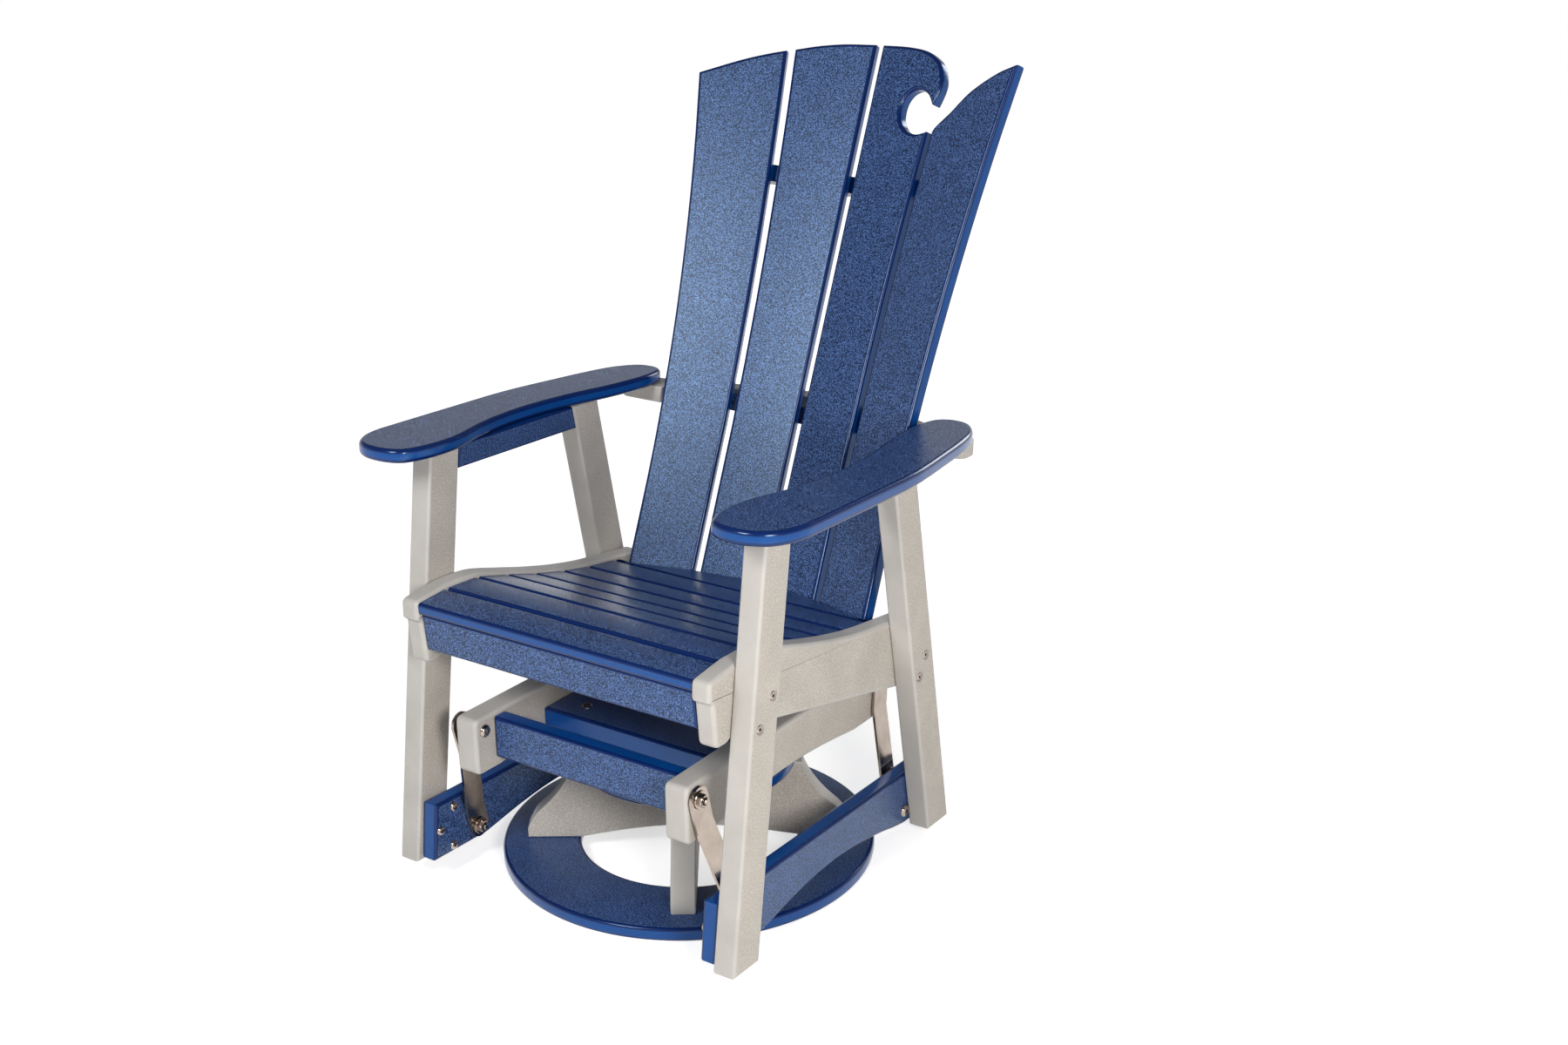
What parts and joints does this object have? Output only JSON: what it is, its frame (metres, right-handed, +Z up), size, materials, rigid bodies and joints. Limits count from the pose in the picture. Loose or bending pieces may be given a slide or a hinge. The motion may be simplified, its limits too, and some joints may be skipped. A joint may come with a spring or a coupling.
{
  "type": "swivel glider",
  "caption": "Outdoor armchair of plastic lumber with a fan back cut as a curling wave, hung on steel links so it glides, on a round base that swivels.",
  "frame": {"origin": "on the floor, under the middle of the whole chair's bounding box", "axes": "+Z up, -Y towards the front of the chair, +X towards the side that is on the sitter's left"},
  "size_m": [0.7944, 0.9342, 1.2355],
  "materials": {
    "navy_lumber": "deep blue plastic lumber, pebbled faces and smoother machined edges",
    "stone_lumber": "pale warm grey plastic lumber, finely pebbled",
    "stainless_steel": "bright stainless steel",
    "zinc_steel": "dull zinc-plated steel",
    "black_nylon": "plain black nylon"
  },
  "bodies": {
    "base": {"base_ring": "navy_lumber", "base_cross_front": "stone_lumber", "base_cross_side": "stone_lumber", "base_disc": "navy_lumber", "swivel_lower_plate": "zinc_steel", "swivel_spindle": "zinc_steel"},
    "glider_frame": {"swivel_housing": "zinc_steel", "swivel_upper_plate": "zinc_steel", "glider_rail_left": "stone_lumber", "glider_rail_right": "stone_lumber", "front_cross_rail": "navy_lumber", "front_plate_board": "navy_lumber", "rear_plate_board": "navy_lumber", "upper_bolt_front_left": "stainless_steel", "upper_bolt_front_right": "stainless_steel", "upper_bolt_rear_left": "stainless_steel", "upper_bolt_rear_right": "stainless_steel", "link_spacer_front_left": "black_nylon", "link_spacer_front_right": "black_nylon", "link_spacer_rear_left": "black_nylon", "link_spacer_rear_right": "black_nylon"},
    "link_front_right": {"link_front_right": "stainless_steel"},
    "link_front_left": {"link_front_left": "stainless_steel"},
    "link_rear_right": {"link_rear_right": "stainless_steel"},
    "link_rear_left": {"link_rear_left": "stainless_steel"},
    "chair": {"leg_front_left": "stone_lumber", "leg_front_right": "stone_lumber", "leg_rear_left": "stone_lumber", "leg_rear_right": "stone_lumber", "stretcher_left": "navy_lumber", "stretcher_right": "navy_lumber", "lower_bolt_front_left": "stainless_steel", "lower_bolt_front_right": "stainless_steel", "lower_bolt_rear_left": "stainless_steel", "lower_bolt_rear_right": "stainless_steel", "seat_rail_left": "stone_lumber", "seat_rail_right": "stone_lumber", "seat_slat_1": "navy_lumber", "seat_slat_2": "navy_lumber", "seat_slat_3": "navy_lumber", "seat_slat_4": "navy_lumber", "seat_slat_5": "navy_lumber", "seat_slat_6": "navy_lumber", "seat_slat_7": "navy_lumber", "seat_slat_8": "navy_lumber", "apron": "navy_lumber", "back_slat_1": "navy_lumber", "back_slat_2": "navy_lumber", "back_slat_3": "navy_lumber", "back_slat_4": "navy_lumber", "upper_batten": "navy_lumber", "lower_batten": "navy_lumber", "lower_back_support": "stone_lumber", "rear_cross_board": "stone_lumber", "arm_left": "navy_lumber", "arm_right": "navy_lumber", "arm_rail_left": "navy_lumber", "arm_rail_right": "navy_lumber"}
  },
  "joints": [
    {"name": "swivel", "type": "hinge", "parent": "base", "child": "glider_frame", "pos_m": [0, -0.13145, 0.19], "axis": [0, 0, 1], "continuous": true},
    {"name": "glide", "type": "hinge", "parent": "glider_frame", "child": "link_front_right", "pos_m": [0.2274, -0.40985, 0.2705], "axis": [1, 0, 0], "range_deg": [-10, 10]},
    {"name": "glide_front_left", "type": "hinge", "parent": "glider_frame", "child": "link_front_left", "pos_m": [-0.2274, -0.40985, 0.2705], "axis": [1, 0, 0], "range_deg": [-10, 10]},
    {"name": "glide_rear_right", "type": "hinge", "parent": "glider_frame", "child": "link_rear_right", "pos_m": [0.2274, 0.09566, 0.2655], "axis": [1, 0, 0], "range_deg": [-9.7, 9.7]},
    {"name": "glide_rear_left", "type": "hinge", "parent": "glider_frame", "child": "link_rear_left", "pos_m": [-0.2274, 0.09566, 0.2655], "axis": [1, 0, 0], "range_deg": [-9.7, 9.7]},
    {"name": "chair_hang", "type": "hinge", "parent": "link_front_right", "child": "chair", "pos_m": [0.2563, -0.35639, 0.0608], "axis": [1, 0, 0], "range_deg": [-11.8, 11.8]}
  ],
  "couplings": [
    {"joint": "glide_front_left", "follows": "glide", "ratio": 1},
    {"joint": "glide_rear_right", "follows": "glide", "ratio": 0.965},
    {"joint": "glide_rear_left", "follows": "glide", "ratio": 0.965},
    {"joint": "chair_hang", "follows": "glide", "ratio": -1.171}
  ]
}
